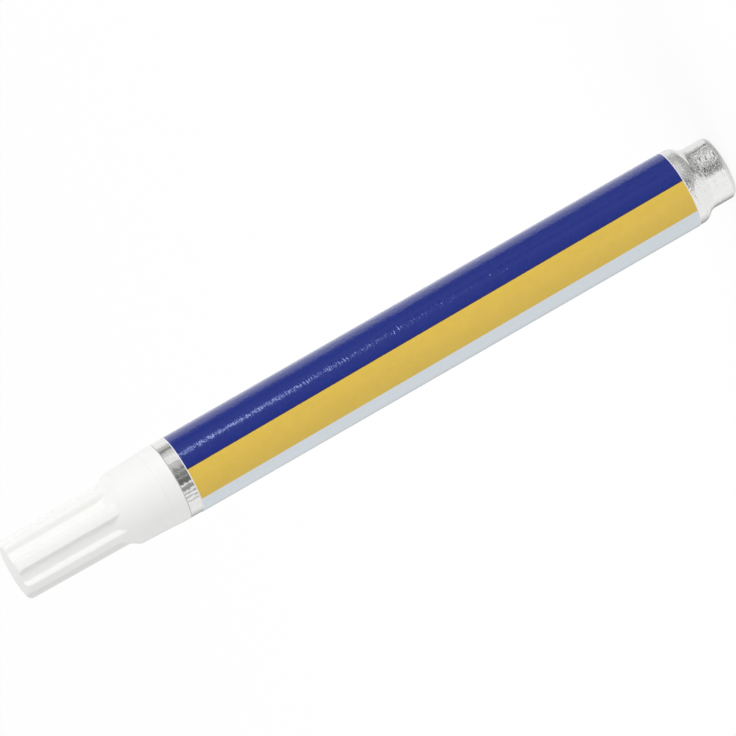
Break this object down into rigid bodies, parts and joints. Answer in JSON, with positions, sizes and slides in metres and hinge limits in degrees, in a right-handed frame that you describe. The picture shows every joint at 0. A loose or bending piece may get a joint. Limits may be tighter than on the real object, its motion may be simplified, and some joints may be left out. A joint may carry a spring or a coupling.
{
  "type": "press-tip solvent pen",
  "caption": "Capped solvent pen for cleaning fibre optic ends: aluminium barrel with a plain banded wrap, ribbed push-on cap, and a sprung tip valve behind a fibre nib.",
  "frame": {"origin": "centre of the flat tail end that the pen stands on", "axes": "+Z along the pen from the tail up to the cap; -Y faces the side with the blue and gold edge of the wrap; +X the blue side"},
  "size_m": [0.015, 0.015, 0.147],
  "materials": {
    "cap_white": "satin moulded polypropylene",
    "barrel_aluminium": "bright drawn, fine lengthwise marks",
    "label_film": "printed gloss film in blue, gold and pale grey-blue bands",
    "nozzle_white": "moulded polypropylene",
    "nib_fibre": "compressed polyester fibre",
    "valve_plastic": "natural moulded acetal",
    "seal_rubber": "solvent-proof rubber",
    "spring_steel": "drawn stainless wire"
  },
  "bodies": {
    "body": {"barrel": "barrel_aluminium", "label": "label_film", "nozzle": "nozzle_white", "valve_cage": "valve_plastic", "valve_spring": "spring_steel"},
    "cap": {"cap": "cap_white"},
    "tip": {"nib": "nib_fibre", "valve_stem": "valve_plastic", "valve_seal": "seal_rubber"}
  },
  "joints": [
    {"name": "cap_pull", "type": "slide", "parent": "body", "child": "cap", "axis": [0, 0, 1], "range_m": [0, 0.032]},
    {"name": "nib_press", "type": "slide", "parent": "body", "child": "tip", "axis": [0, 0, -1], "range_m": [0, 0.002], "stiffness_N_per_m": 400, "springref_m": -0.003, "deforming": ["valve_spring"]}
  ]
}
